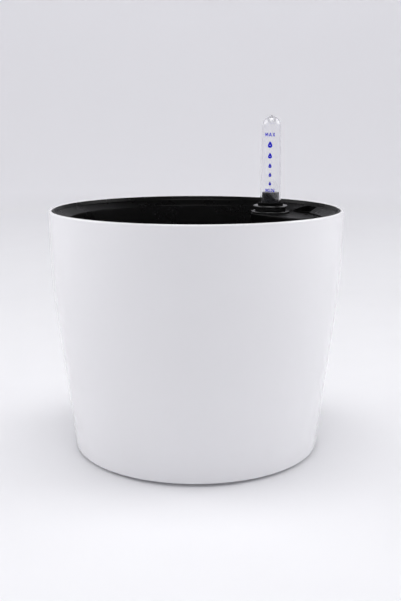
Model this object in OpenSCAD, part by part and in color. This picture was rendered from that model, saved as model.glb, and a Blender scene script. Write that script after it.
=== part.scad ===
// Round self-watering planter: a white outer pot holds the water, a black liner stands in it on
// hollow legs, and a float gauge with a clear dome drops through a ledge in the liner.
// Millimetres, +Z up. The origin is on the ground, on the pot's axis. The gauge stands at +X.

/* [Outer pot] */
// Height from the ground to the rim
pot_h = 234; // [226:1:244]
// Outer radius of the rim
rim_r = 140; // [138:0.5:146]
// Thickness of the wall and floor
pot_wall = 3; // [2.6:0.1:3.2]
// Inward slope of the wall just below the rim
slope_top = 0.012; // [0.006:0.002:0.016]
// Inward slope of the wall near the ground
slope_low = 0.117; // [0.1:0.001:0.12]
// Depth below the rim at which the wall starts to turn inwards
turn_from = 25; // [15:1:35]
// Depth below the rim at which the wall has turned to its lower slope
turn_to = 105; // [90:1:120]
// Height of the foot ring
foot_h = 6; // [5:0.5:7]

/* [Liner] */
// Depth of the liner's lip below the pot's rim
lip_drop = 0.2; // [0.1:0.1:1]
// Depth of the funnel's foot below the pot's rim
funnel_drop = 9.3; // [9:0.1:9.8]
// Depth of the ledge below the pot's rim
ledge_drop = 10.4; // [10:0.1:10.8]
// Inner radius of the soil cup at the ledge
cup_top_r = 122; // [120:0.5:123]
// Inner radius of the soil cup at its floor
cup_floor_r = 104; // [100:0.5:106]
// Thickness of the liner's wall, floor and ledge
liner_wall = 2.2; // [2:0.1:2.4]
// Height of the water space under the liner, which is also the float's travel
water_h = 57; // [50:1:60]
// Radius of the four hollow legs at the top
leg_r = 13; // [11:0.5:14]

/* [Gauge] */
// Distance from the pot's axis to the gauge's axis
gauge_x = 95; // [93:0.5:97]
// Outer radius of the clear tube at its mouth
tube_r = 10.6; // [10.2:0.1:10.8]
// Height of the clear tube's tip above the pot's rim
tube_rise = 86.5; // [84:0.5:95]
// Radius of the grip flange
grip_r = 17.5; // [17:0.1:19]
// Height of the float
float_h = 26; // [20:1:30]

/* [Hidden] */
$fn = 96;
eps = 0.01;

// Outer pot
wall_steps = 28;
rim_round = pot_wall / 2;
foot_gap_h = 2.8;
foot_gap_w = 6;
foot_w = 4.5;
foot_round = 0.8;
floor_z = foot_h + pot_wall + 0.5;
inner_fillet = 6;
lip_gap = 0.6;
rib_w = 1.6;
rib_count = 8;

// Drain
drain_r = 9;
boss_r = 16;
boss_z = foot_h - 1.5;
plug_head_r = 13;
plug_head_h = 2.9;
washer_h = 0.6;
grip_pocket_r = 7.4;
grip_bar_w = 3;
drain_gap = 0.1;
plug_above_floor = 2;

// Liner
lip_z = pot_h - lip_drop;
funnel_z = pot_h - funnel_drop;
ledge_z = pot_h - ledge_drop;
cup_z = floor_z + water_h;
cup_floor_z = cup_z + liner_wall;
lip_r = rim_r - pot_wall - lip_gap;
band_w = 3.3;
band_h = 3.8;
skirt_h = 14;
skirt_w = 1.8;
leg_taper = 2;
leg_ring_r = 68;
leg_angle = 47;
leg_slot_w = 2.6;
leg_slot_h = 35;
leg_slot_up = 8;
drain_hole_r = 2.4;

// Shaft at the side of the soil cup, which holds the gauge and takes the water
shaft_nose_r = 17.8;
shaft_x = gauge_x - shaft_nose_r;
shaft_y = -62;
shaft_corner_r = 12;

// Recess in the funnel beside the gauge, with the water opening in its floor
recess_out_r = lip_r - 3.9;
recess_y = -34;
recess_corner = [112, -21.5];
recess_corner_r = 19;
fill_from = [117.5, -31.5];
fill_to = [127, -9];
fill_corner_r = 3.5;

// Wick cords
cord_r = 3.6;
cord_ring_r = 60;
cord_z = floor_z + 4;
cord_up = 34;
cord_gap = 0.4;

// Gauge stack
socket_r = 19.8;
socket_bore_r = 13.2;
socket_spigot_r = 16;
socket_spigot_h = 5;
socket_h = 1.8;
seal_h = 0.6;
spigot_r = 13.1;
pipe_r = 11.85;
pipe_bore_r = 10.6;
base_z = ledge_z + socket_h + seal_h;
base_r = 15.8;
grip_z = base_z + 3.1;
grip_h = 2.1;
collar_r = 13;
collar_z = grip_z + grip_h;
collar_h = 2.8;
collar_seat = 0.8;
tube_z = base_z + 3.1;
tube_wall = 0.5;
tube_taper = 1.2;
tube_top_r = tube_r - tube_taper;
tube_tip_z = pot_h + tube_rise;
shoulder_r = 9;
pipe_foot_z = floor_z + 0.6;
foot_cap_h = 16;
cage_h = 11;
guide_under = 0.4;
guide_flange_h = 1;
rod_r = 1.8;
rod_sunk = 4;
head_gap = 0.1;
head_r = tube_top_r - tube_wall - head_gap;
head_top_z = pot_h + 10.5;
head_h = 14;
float_r = 9.8;
float_z = pipe_foot_z + 2.8;

// Points on a circular arc about c, from angle a0 to a1.
function arc(c, r, a0, a1, n = 8) =
    [for (i = [0 : n]) c + r * [cos(a0 + (a1 - a0) * i / n), sin(a0 + (a1 - a0) * i / n)]];

// How far the wall has turned inwards at depth u, per unit of slope.
function turned(u) =
    u < turn_from ? 0 :
    u < turn_to ? pow(u - turn_from, 2) / (2 * (turn_to - turn_from)) :
    u - turn_from - (turn_to - turn_from) / 2;

// Outer radius of the pot's wall at height z.
function wall_r(z) =
    rim_r - slope_top * (pot_h - z) - (slope_low - slope_top) * turned(pot_h - z);

// Outer and inner radius of the foot ring.
foot_out_r = wall_r(0) - foot_gap_w;
foot_in_r = foot_out_r - foot_w;

// Inner radius of the soil cup at height z.
function cup_r(z) =
    cup_floor_r + (cup_top_r - cup_floor_r) * (z - cup_floor_z) / (ledge_z - cup_floor_z);

// A ring of the given height, standing at height z.
module ring(outer, inner, z, h) {
    translate([0, 0, z])
        difference() {
            cylinder(r = outer, h = h);
            translate([0, 0, -1])
                cylinder(r = inner, h = h + 2);
        }
}

// A cylinder between two heights.
module cylinder_between(r, z0, z1) {
    translate([0, 0, z0])
        cylinder(r = r, h = z1 - z0);
}

// ---------------------------------------------------------------- outer pot

// Half section of the pot's shell, without its drain hole. The wall ends above the ground,
// outside a narrower foot ring.
module pot_section() {
    low = foot_gap_h + foot_round;
    high = pot_h - rim_round;
    inner_low = floor_z + inner_fillet;
    polygon(concat(
        [[foot_in_r, foot_h], [foot_in_r, 0], [foot_out_r, 0], [foot_out_r, foot_gap_h]],
        arc([wall_r(low) - foot_round, low], foot_round, -90, 0),
        [for (i = [1 : wall_steps]) let(z = low + (high - low) * i / wall_steps) [wall_r(z), z]],
        arc([rim_r - rim_round, high], rim_round, 15, 165, 10),
        [for (i = [wall_steps : -1 : 1]) let(z = inner_low + (high - inner_low) * i / wall_steps)
            [wall_r(z) - pot_wall, z]],
        arc([wall_r(inner_low) - pot_wall - inner_fillet, inner_low], inner_fillet, 0, -90),
        [[0, floor_z], [0, foot_h]]
    ));
}

// Ribs under the floor, from the drain boss to the foot ring.
module underside_ribs() {
    embed = 1;
    for (k = [0 : rib_count - 1])
        rotate([0, 0, 360 / rib_count * (k + 0.5)])
            translate([boss_r - embed, -rib_w / 2, boss_z])
                cube([foot_in_r - boss_r + 2 * embed, rib_w, foot_h - boss_z + embed]);
}

module outer_pot() {
    color("white")
        difference() {
            union() {
                rotate_extrude($fn = 180)
                    pot_section();
                underside_ribs();
                translate([0, 0, boss_z])
                    cylinder(r = boss_r, h = foot_h - boss_z + 1);
            }
            translate([0, 0, boss_z - 1])
                cylinder(r = drain_r, h = floor_z);
        }
}

// Screw plug that closes the drain, with a finger bar across its sunk head.
module drain_plug() {
    head_z = boss_z - washer_h - plug_head_h;
    chamfer = 0.8;
    pocket_h = 5;
    bar_sunk = 0.3;
    bar_reach = grip_pocket_r + 0.3;
    color("#202022")
        union() {
            difference() {
                union() {
                    translate([0, 0, head_z])
                        cylinder(r1 = plug_head_r - chamfer, r2 = plug_head_r, h = chamfer);
                    cylinder_between(plug_head_r, head_z + chamfer, head_z + plug_head_h);
                    cylinder_between(drain_r - drain_gap, head_z + plug_head_h - eps,
                        floor_z + plug_above_floor);
                }
                cylinder_between(grip_pocket_r, head_z - 1, head_z + pocket_h);
            }
            translate([-bar_reach, -grip_bar_w / 2, head_z + bar_sunk])
                cube([2 * bar_reach, grip_bar_w, pocket_h]);
        }
}

module plug_washer() {
    color("#2b2b2d")
        ring(plug_head_r - 0.6, drain_r, boss_z - washer_h, washer_h);
}

// ---------------------------------------------------------------- liner

// Half section of the lip: skirt outside, steep band and shallow funnel inside.
module lip_section() {
    outer_round = 0.9;
    inner_round = 0.7;
    bend_r = 1.5;
    foot_round = 1;
    top_w = 1.2;
    bend_shift = 0.9;
    foot_sunk = 0.6;
    edge_gap = 0.05;
    edge_h = 2;
    under_h = 7.6;
    under_foot_h = 5;
    polygon(concat(
        [[lip_r - skirt_w, lip_z - skirt_h], [lip_r, lip_z - skirt_h]],
        arc([lip_r - outer_round, lip_z - outer_round], outer_round, 0, 90),
        arc([lip_r - top_w, lip_z - inner_round], inner_round, 90, 160, 4),
        arc([lip_r - band_w - bend_shift, lip_z - band_h + bend_shift * bend_r], bend_r, -27, -62, 5),
        arc([cup_top_r + foot_round, funnel_z - foot_sunk], foot_round, 115, 180, 4),
        [[cup_top_r - edge_gap, ledge_z - edge_h],
            [cup_r(ledge_z - under_foot_h) + liner_wall, ledge_z - under_foot_h],
            [lip_r - skirt_w, lip_z - under_h]]
    ));
}

// The soil cup as a solid, grown by the given amount.
module cup_solid(grow, z0, z1) {
    translate([0, 0, z0])
        cylinder(r1 = cup_r(z0) + grow, r2 = cup_r(z1) + grow, h = z1 - z0, $fn = 180);
}

// Plan of the shaft, grown by the given amount, as a prism that runs out past the liner.
module shaft_prism(grow, z0, z1) {
    h = z1 - z0;
    x0 = shaft_x - grow;
    y0 = shaft_y - grow;
    translate([0, 0, z0]) {
        translate([gauge_x, 0, 0])
            cylinder(r = shaft_nose_r + grow, h = h);
        translate([gauge_x, -eps, 0])
            cube([rim_r, shaft_nose_r + grow + eps, h]);
        translate([x0 + shaft_corner_r, y0 + shaft_corner_r, 0])
            cylinder(r = shaft_corner_r, h = h);
        translate([x0 + shaft_corner_r, y0, 0])
            cube([rim_r, -y0, h]);
        translate([x0, y0 + shaft_corner_r, 0])
            cube([shaft_corner_r + 1, -y0 - shaft_corner_r, h]);
    }
}

// Plan of the recess, grown by the given amount, as a prism: it runs along the inside of the
// steep band and rounds back to the ledge beside the gauge.
module recess_prism(grow, z0, z1) {
    h = z1 - z0;
    reach = rim_r - gauge_x;
    y0 = recess_y - grow;
    intersection() {
        cylinder_between(recess_out_r + grow, z0, z1, $fn = 180);
        translate([gauge_x, y0, z0])
            cube([reach, -y0, h]);
        union() {
            translate([recess_corner.x, recess_corner.y, 0])
                cylinder_between(recess_corner_r + grow, z0, z1);
            translate([gauge_x, y0, z0])
                cube([reach, recess_corner.y - y0, h]);
        }
    }
}

// Walls and floor of the recess, under the funnel.
module recess_shell() {
    embed = 0.3;
    in_r = cup_top_r - 2;
    out_r = lip_r - skirt_w + embed;
    out_drop = 5.8;
    intersection() {
        recess_prism(liner_wall, ledge_z - liner_wall - 1, lip_z);
        rotate_extrude($fn = 180)
            polygon([[in_r, ledge_z - liner_wall], [out_r, ledge_z - liner_wall],
                [out_r, lip_z - out_drop], [cup_top_r + 1, ledge_z - embed],
                [in_r, ledge_z - embed]]);
    }
}

// Water opening in the floor of the recess.
module fill_hole() {
    r = fill_corner_r;
    depth = 7;
    z0 = ledge_z - depth;
    h = depth + 1;
    for (x = [fill_from.x + r, fill_to.x - r], y = [fill_from.y + r, fill_to.y - r])
        translate([x, y, z0])
            cylinder(r = r, h = h, $fn = 32);
    translate([fill_from.x + r, fill_from.y, z0])
        cube([fill_to.x - fill_from.x - 2 * r, fill_to.y - fill_from.y, h]);
    translate([fill_from.x, fill_from.y + r, z0])
        cube([fill_to.x - fill_from.x, fill_to.y - fill_from.y - 2 * r, h]);
}

// Places its children at each leg.
module at_legs() {
    for (a = [leg_angle, 180 - leg_angle, 180 + leg_angle, 360 - leg_angle])
        rotate([0, 0, a])
            translate([leg_ring_r, 0, 0])
                children();
}

module leg_solid(grow, z0) {
    translate([0, 0, z0])
        cylinder(r1 = leg_r - leg_taper + grow, r2 = leg_r + grow, h = cup_floor_z - z0 + eps);
}

// Slots through a leg's wall, where the water reaches the soil.
module leg_slots() {
    reach = leg_r + 2;
    for (a = [0, 60, 120])
        rotate([0, 0, a])
            translate([-reach, -leg_slot_w / 2, floor_z + leg_slot_up])
                cube([2 * reach, leg_slot_w, leg_slot_h]);
}

// Radius and angle of each wick cord.
cords = [[0, 0], [cord_ring_r, 90], [cord_ring_r, 180], [cord_ring_r, 270]];

// One hole down through the cup's floor, at the given radius and angle.
module floor_hole(ring_r, a, hole_r) {
    rotate([0, 0, a])
        translate([ring_r, 0, 0])
            cylinder_between(hole_r, cup_z - 1, cup_floor_z + 1, $fn = 32);
}

// Small holes in the cup's floor for drainage and air: the outer ring skips the legs.
module floor_holes() {
    inner_ring_r = 30;
    outer_ring_r = 88;
    for (k = [0 : 7])
        floor_hole(inner_ring_r, 22.5 + 45 * k, drain_hole_r);
    for (a = [72 : 18 : 288])
        if (abs(a - 180 + leg_angle) > 8 && abs(a - 180 - leg_angle) > 8)
            floor_hole(outer_ring_r, a, drain_hole_r);
}

module inner_liner() {
    color("#1b1b1d")
        difference() {
            union() {
                rotate_extrude($fn = 180)
                    lip_section();
                difference() {
                    cup_solid(liner_wall, cup_z, ledge_z - 1.5);
                    shaft_prism(0, cup_z - 1, ledge_z - liner_wall);
                }
                intersection() {
                    cup_solid(1, ledge_z - liner_wall, ledge_z);
                    shaft_prism(liner_wall, ledge_z - liner_wall, ledge_z);
                }
                recess_shell();
                at_legs()
                    leg_solid(0, floor_z);
            }
            difference() {
                cup_solid(0, cup_floor_z, ledge_z);
                shaft_prism(liner_wall, cup_floor_z - 1, ledge_z + 1);
            }
            recess_prism(0, ledge_z, lip_z + 1);
            at_legs() {
                leg_solid(-liner_wall, floor_z + liner_wall);
                leg_slots();
            }
            for (c = cords)
                floor_hole(c[0], c[1], cord_r + cord_gap);
            floor_holes();
            fill_hole();
            translate([gauge_x, 0, 0])
                cylinder_between(socket_spigot_r, ledge_z - 2 * socket_spigot_h, ledge_z + 1);
        }
}

module wick_cords() {
    color("#e9e4d6")
        for (c = cords)
            rotate([0, 0, c[1]])
                translate([c[0], 0, 0])
                    cylinder_between(cord_r, cord_z, cup_floor_z + cord_up);
}

// ---------------------------------------------------------------- gauge

// Ring that lines the ledge's hole.
module socket_ring() {
    chamfer = 0.5;
    top = ledge_z + socket_h;
    color("#161618")
        translate([gauge_x, 0, 0])
            difference() {
                union() {
                    cylinder_between(socket_spigot_r, ledge_z - socket_spigot_h, ledge_z + eps);
                    cylinder_between(socket_r, ledge_z, top - chamfer);
                    translate([0, 0, top - chamfer])
                        cylinder(r1 = socket_r, r2 = socket_r - chamfer, h = chamfer);
                }
                cylinder_between(socket_bore_r, ledge_z - socket_spigot_h - 1, top + 1);
            }
}

module base_washer() {
    color("#2b2b2d")
        translate([gauge_x, 0, 0])
            ring(base_r - 0.4, spigot_r, base_z - seal_h, seal_h);
}

// Grip flange with the spigot that drops into the socket ring.
module gauge_base() {
    spigot_h = 10;
    bore_r = pipe_r + 0.05;
    seat_r = tube_r + 0.2;
    edge_r = grip_h / 2;
    color("#161618")
        translate([gauge_x, 0, 0])
            rotate_extrude()
                polygon(concat(
                    [[bore_r, base_z - spigot_h], [spigot_r, base_z - spigot_h],
                        [spigot_r, base_z], [base_r, base_z], [base_r, grip_z]],
                    arc([grip_r - edge_r, grip_z + edge_r], edge_r, -80, 80),
                    [[collar_r, collar_z], [collar_r, tube_z + collar_seat],
                        [seat_r, tube_z + collar_seat], [seat_r, tube_z], [shoulder_r, tube_z],
                        [shoulder_r, base_z - guide_under], [bore_r, base_z - guide_under]]
                ));
}

// Rubber collar round the mouth of the clear tube.
module tube_collar() {
    round = 0.6;
    top = collar_z + collar_h;
    color("#0c0c0d")
        translate([gauge_x, 0, 0])
            rotate_extrude()
                polygon(concat(
                    [[tube_r + 0.1, tube_z + collar_seat], [collar_r, tube_z + collar_seat]],
                    arc([collar_r - round, top - round], round, 0, 90),
                    [[tube_r + 0.1, top]]
                ));
}

// Outer radius of the clear tube at height z, below its dome.
dome_z = tube_tip_z - tube_top_r;
function tube_at(z) = tube_r + (tube_top_r - tube_r) * (z - tube_z) / (dome_z - tube_z);

// Clear tube, open at the bottom, with a domed top and a small moulding tip.
module gauge_tube() {
    in_r = tube_top_r - tube_wall;
    tip_r = 0.9;
    tip_edge_h = 0.5;
    tip_h = 0.6;
    color([0.9, 0.93, 0.95, 0.35])
        translate([gauge_x, 0, 0])
            rotate_extrude()
                polygon(concat(
                    [[tube_r - tube_wall, tube_z], [tube_r, tube_z]],
                    arc([0, dome_z], tube_top_r, 0, 84, 16),
                    [[tip_r, tube_tip_z + tip_edge_h], [0, tube_tip_z + tip_h], [0, dome_z + in_r]],
                    arc([0, dome_z], in_r, 86, 0, 16)
                ));
}

// Pipe that guides the float from the gauge's base down to the water.
module guide_pipe() {
    color("#1b1b1d")
        translate([gauge_x, 0, 0])
            ring(pipe_r, pipe_bore_r, pipe_foot_z + cage_h,
                base_z - guide_under - guide_flange_h - pipe_foot_z - cage_h);
}

// Bush that keeps the rod upright, clamped between the pipe and the gauge's base.
module rod_guide() {
    top = base_z - guide_under;
    low = top - 5;
    fit_gap = 0.05;
    rod_gap = 0.3;
    vent_r = 1.8;
    vent_ring_r = 6;
    color("#303033")
        translate([gauge_x, 0, 0])
            difference() {
                union() {
                    cylinder_between(pipe_r - fit_gap, top - guide_flange_h, top);
                    cylinder_between(pipe_bore_r - fit_gap, low, top - guide_flange_h + eps);
                }
                cylinder_between(rod_r + rod_gap, low - 1, top + 1);
                for (a = [0 : 90 : 270])
                    rotate([0, 0, a])
                        translate([vent_ring_r, 0, 0])
                            cylinder_between(vent_r, low - 1, top + 1, $fn = 24);
            }
}

// Cap over the pipe's lower end, with a slotted cage that lets water in.
module strainer_foot() {
    slot_w = 2.4;
    slot_up = 3;
    slot_h = cage_h - 4;
    floor_h = 2;
    chamfer = 1;
    fit_gap = 0.02;
    out_r = pipe_r + 1.05;
    top = pipe_foot_z + foot_cap_h;
    color("#1b1b1d")
        translate([gauge_x, 0, 0])
            difference() {
                union() {
                    translate([0, 0, pipe_foot_z])
                        cylinder(r1 = out_r - chamfer, r2 = out_r, h = chamfer);
                    cylinder_between(out_r, pipe_foot_z + chamfer, top);
                }
                cylinder_between(pipe_bore_r, pipe_foot_z + floor_h, top);
                cylinder_between(pipe_r + fit_gap, pipe_foot_z + cage_h, top + 1);
                for (a = [0 : 45 : 135])
                    rotate([0, 0, a])
                        translate([-out_r - 1, -slot_w / 2, pipe_foot_z + slot_up])
                            cube([2 * out_r + 2, slot_w, slot_h]);
            }
}

module float_rod() {
    color("#d8d8da")
        translate([gauge_x, 0, 0])
            cylinder_between(rod_r, float_z + rod_sunk, head_top_z - rod_sunk, $fn = 32);
}

module float() {
    round = 1.5;
    color("#f1efe8")
        translate([gauge_x, 0, 0])
            rotate_extrude()
                polygon(concat(
                    [[0, float_z], [float_r - round, float_z]],
                    arc([float_r - round, float_z + round], round, -80, 0, 6),
                    arc([float_r - round, float_z + float_h - round], round, 0, 90, 6),
                    [[rod_r, float_z + float_h], [rod_r, float_z + rod_sunk],
                        [0, float_z + rod_sunk]]
                ));
}

// Grey head that shows the water level through the clear tube.
module indicator_head() {
    z0 = head_top_z - head_h;
    chamfer = 0.4;
    round = 0.6;
    color("#4a4a4f")
        translate([gauge_x, 0, 0])
            rotate_extrude()
                polygon(concat(
                    [[rod_r, z0], [head_r - chamfer, z0], [head_r, z0 + chamfer]],
                    arc([head_r - round, head_top_z - round], round, 0, 90, 5),
                    [[0, head_top_z], [0, head_top_z - rod_sunk], [rod_r, head_top_z - rod_sunk]]
                ));
}

outer_pot();
drain_plug();
plug_washer();
inner_liner();
wick_cords();
socket_ring();
base_washer();
gauge_base();
tube_collar();
gauge_tube();
guide_pipe();
rod_guide();
strainer_foot();
float_rod();
float();
indicator_head();
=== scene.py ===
"""Looks of a round self-watering planter: white outer pot, black liner, float gauge in a clear tube."""

import math

import bmesh
import bpy
from mathutils import Matrix, Vector


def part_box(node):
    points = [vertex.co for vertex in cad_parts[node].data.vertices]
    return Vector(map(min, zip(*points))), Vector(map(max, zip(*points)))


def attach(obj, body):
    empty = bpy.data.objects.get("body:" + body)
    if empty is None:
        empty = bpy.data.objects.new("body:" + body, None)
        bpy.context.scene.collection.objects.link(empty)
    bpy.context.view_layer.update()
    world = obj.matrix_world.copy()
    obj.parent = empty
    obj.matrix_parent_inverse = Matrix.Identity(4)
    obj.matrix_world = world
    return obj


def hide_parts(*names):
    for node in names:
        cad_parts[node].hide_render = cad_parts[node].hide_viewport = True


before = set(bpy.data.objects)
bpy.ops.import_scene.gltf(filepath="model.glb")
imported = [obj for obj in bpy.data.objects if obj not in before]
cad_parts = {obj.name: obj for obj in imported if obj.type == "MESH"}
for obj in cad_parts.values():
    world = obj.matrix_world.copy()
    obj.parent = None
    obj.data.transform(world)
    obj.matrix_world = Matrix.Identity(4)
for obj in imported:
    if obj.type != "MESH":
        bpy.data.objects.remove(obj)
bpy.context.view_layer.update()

MM = 0.001

# ---------------------------------------------------------------- sizes, in metres

pot_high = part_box("outer_pot")[1]
liner_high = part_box("inner_liner")[1]
socket_low, socket_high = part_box("socket_ring")
base_low, base_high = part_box("gauge_base")
collar_low, collar_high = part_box("tube_collar")
tube_low, tube_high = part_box("gauge_tube")
pipe_low, pipe_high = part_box("guide_pipe")
guide_low, guide_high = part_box("rod_guide")
foot_low, foot_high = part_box("strainer_foot")
float_low, float_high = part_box("float")
rod_low, rod_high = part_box("float_rod")
head_low, head_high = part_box("indicator_head")
washer_low, washer_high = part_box("base_washer")
plug_low, plug_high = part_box("drain_plug")
plug_washer_low, plug_washer_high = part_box("plug_washer")
cords_low, cords_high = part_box("wick_cords")


def half_width(low, high):
    """Radius of a round piece, from the two corners of its box."""
    return (high.x - low.x) / 2


# Clearance of a push fit, all round
FIT = 0.05 * MM

# Outer pot
RIM_R = pot_high.x
POT_H = pot_high.z
POT_WALL = 3.0 * MM
SLOPE_TOP = 0.012
SLOPE_LOW = 0.117
TURN_FROM = 25 * MM
TURN_TO = 105 * MM
FOOT_H = 6 * MM
FOOT_W = 4.5 * MM
FOOT_GAP_H = 2.8 * MM
FOOT_GAP_W = 6 * MM
FLOOR_Z = FOOT_H + POT_WALL + 0.5 * MM
BOSS_R = 16 * MM
BOSS_Z = plug_washer_high.z
DRAIN_R = 9 * MM

# Liner
LINER_WALL = 2.2 * MM
LIP_Z = liner_high.z
LIP_R = liner_high.x
SKIRT_W = 1.8 * MM
SOCKET_RIM_H = 1.8 * MM
LEDGE_Z = socket_high.z - SOCKET_RIM_H
FUNNEL_DROP = 9.3 * MM
FUNNEL_Z = POT_H - FUNNEL_DROP
CUP_TOP_R = 122 * MM
CUP_FLOOR_R = 104 * MM
WATER_H = 57 * MM
CUP_Z = FLOOR_Z + WATER_H
CUP_FLOOR_Z = CUP_Z + LINER_WALL

# Gauge
GAUGE = Vector(((socket_low.x + socket_high.x) / 2, (socket_low.y + socket_high.y) / 2))
SOCKET_SPIGOT_R = 16 * MM
GAUGE_SPIGOT_R = 13.1 * MM
PIPE_BORE_R = 10.6 * MM
PIPE_R = half_width(pipe_low, pipe_high)
COLLAR_R = half_width(collar_low, collar_high)
ROD_R = half_width(rod_low, rod_high)
ROD_SUNK = 4 * MM
TUBE_WALL = 0.5 * MM
TUBE_TAPER = 1.2 * MM
TUBE_TIP = 0.6 * MM
TUBE_R = half_width(tube_low, tube_high)
TUBE_TOP_R = TUBE_R - TUBE_TAPER
DOME_Z = tube_high.z - TUBE_TIP - TUBE_TOP_R


# ---------------------------------------------------------------- mesh helpers

def link(obj):
    """Puts a new object in the scene."""
    bpy.context.scene.collection.objects.link(obj)
    return obj


def mesh_object(name, bm):
    """A mesh object made from bm, with its faces turned outwards."""
    bmesh.ops.recalc_face_normals(bm, faces=bm.faces)
    mesh = bpy.data.meshes.new(name)
    bm.to_mesh(mesh)
    bm.free()
    return link(bpy.data.objects.new(name, mesh))


def arc(r, z, radius, start, end, steps=8):
    """Points on a circular arc about (r, z), from angle start to end in degrees."""
    angles = [math.radians(start + (end - start) * i / steps) for i in range(steps + 1)]
    return [(r + radius * math.cos(a), z + radius * math.sin(a)) for a in angles]


def ring(bm, r, z, steps, centre=(0, 0)):
    """New points on a level circle."""
    turns = [2 * math.pi * k / steps for k in range(steps)]
    return [bm.verts.new((centre[0] + r * math.cos(a), centre[1] + r * math.sin(a), z)) for a in turns]


def skin(bm, rows):
    """Faces between closed rows of points, with a flat end on the first row and the last."""
    count = len(rows[0])
    for low, high in zip(rows, rows[1:]):
        for k in range(count):
            n = (k + 1) % count
            bm.faces.new([low[k], low[n], high[n], high[k]])
    bm.faces.new(rows[0][::-1])
    bm.faces.new(rows[-1])


def lathe(name, outline, centre=(0, 0), steps=192):
    """A closed solid made by turning a closed (radius, height) outline about a vertical axis."""
    bm = bmesh.new()
    rings = []
    for r, z in outline:
        on_axis = r < 1e-7
        rings.append([bm.verts.new((*centre, z))] if on_axis else ring(bm, r, z, steps, centre))
    for low, high in zip(rings, rings[1:] + rings[:1]):
        if len(low) == 1 and len(high) == 1:
            continue
        for k in range(steps):
            n = (k + 1) % steps
            corners = [low[k % len(low)], low[n % len(low)], high[n % len(high)], high[k % len(high)]]
            unique = [v for i, v in enumerate(corners) if v not in corners[:i]]
            bm.faces.new(unique)
    return mesh_object(name, bm)


def stack(name, loops):
    """A closed solid skinned over loops of 3-D points, all of one length, with flat ends."""
    bm = bmesh.new()
    skin(bm, [[bm.verts.new(p) for p in loop] for loop in loops])
    return mesh_object(name, bm)


def block(low, high):
    """A box between two corners."""
    corners = [(low[0], low[1]), (high[0], low[1]), (high[0], high[1]), (low[0], high[1])]
    return stack("block", [[(x, y, z) for x, y in corners] for z in (low[2], high[2])])


def settle(obj):
    """Applies an object's modifiers to its mesh."""
    graph = bpy.context.evaluated_depsgraph_get()
    mesh = bpy.data.meshes.new_from_object(obj.evaluated_get(graph))
    old = obj.data
    obj.modifiers.clear()
    obj.data = mesh
    bpy.data.meshes.remove(old)


def combine(target, other, operation):
    """Joins, cuts or intersects target with other, which is used up."""
    step = target.modifiers.new("combine", "BOOLEAN")
    step.solver = "EXACT"
    step.operation = operation
    step.object = other
    bpy.context.view_layer.update()
    settle(target)
    bpy.data.objects.remove(other)
    return target


def cut(target, other):
    return combine(target, other, "DIFFERENCE")


def join(target, other):
    return combine(target, other, "UNION")


def common(target, other):
    return combine(target, other, "INTERSECT")


def weld(obj, distance=0.002 * MM):
    """Removes doubled points and slivers left by cuts."""
    bm = bmesh.new()
    bm.from_mesh(obj.data)
    bmesh.ops.remove_doubles(bm, verts=bm.verts, dist=distance)
    bmesh.ops.dissolve_degenerate(bm, edges=bm.edges, dist=distance)
    bm.to_mesh(obj.data)
    bm.free()


def smooth(obj, angle=32):
    """Shades smooth across edges flatter than angle, in degrees."""
    mesh = obj.data
    bm = bmesh.new()
    bm.from_mesh(mesh)
    limit = math.radians(angle)
    for face in bm.faces:
        face.smooth = True
    for edge in bm.edges:
        edge.smooth = len(edge.link_faces) == 2 and edge.calc_face_angle(0) < limit
    bm.to_mesh(mesh)
    bm.free()
    weigh = obj.modifiers.new("even_shading", "WEIGHTED_NORMAL")
    weigh.keep_sharp = True
    weigh.weight = 60
    return obj


def dress(obj, material, slot, body, *nodes):
    """Gives a piece its material and its body, and hides the CAD nodes it stands for. The slot is not used.
    """
    obj.data.materials.clear()
    obj.data.materials.append(material)
    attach(obj, body)
    if nodes:
        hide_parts(*nodes)
    return obj


# ---------------------------------------------------------------- material helpers

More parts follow.
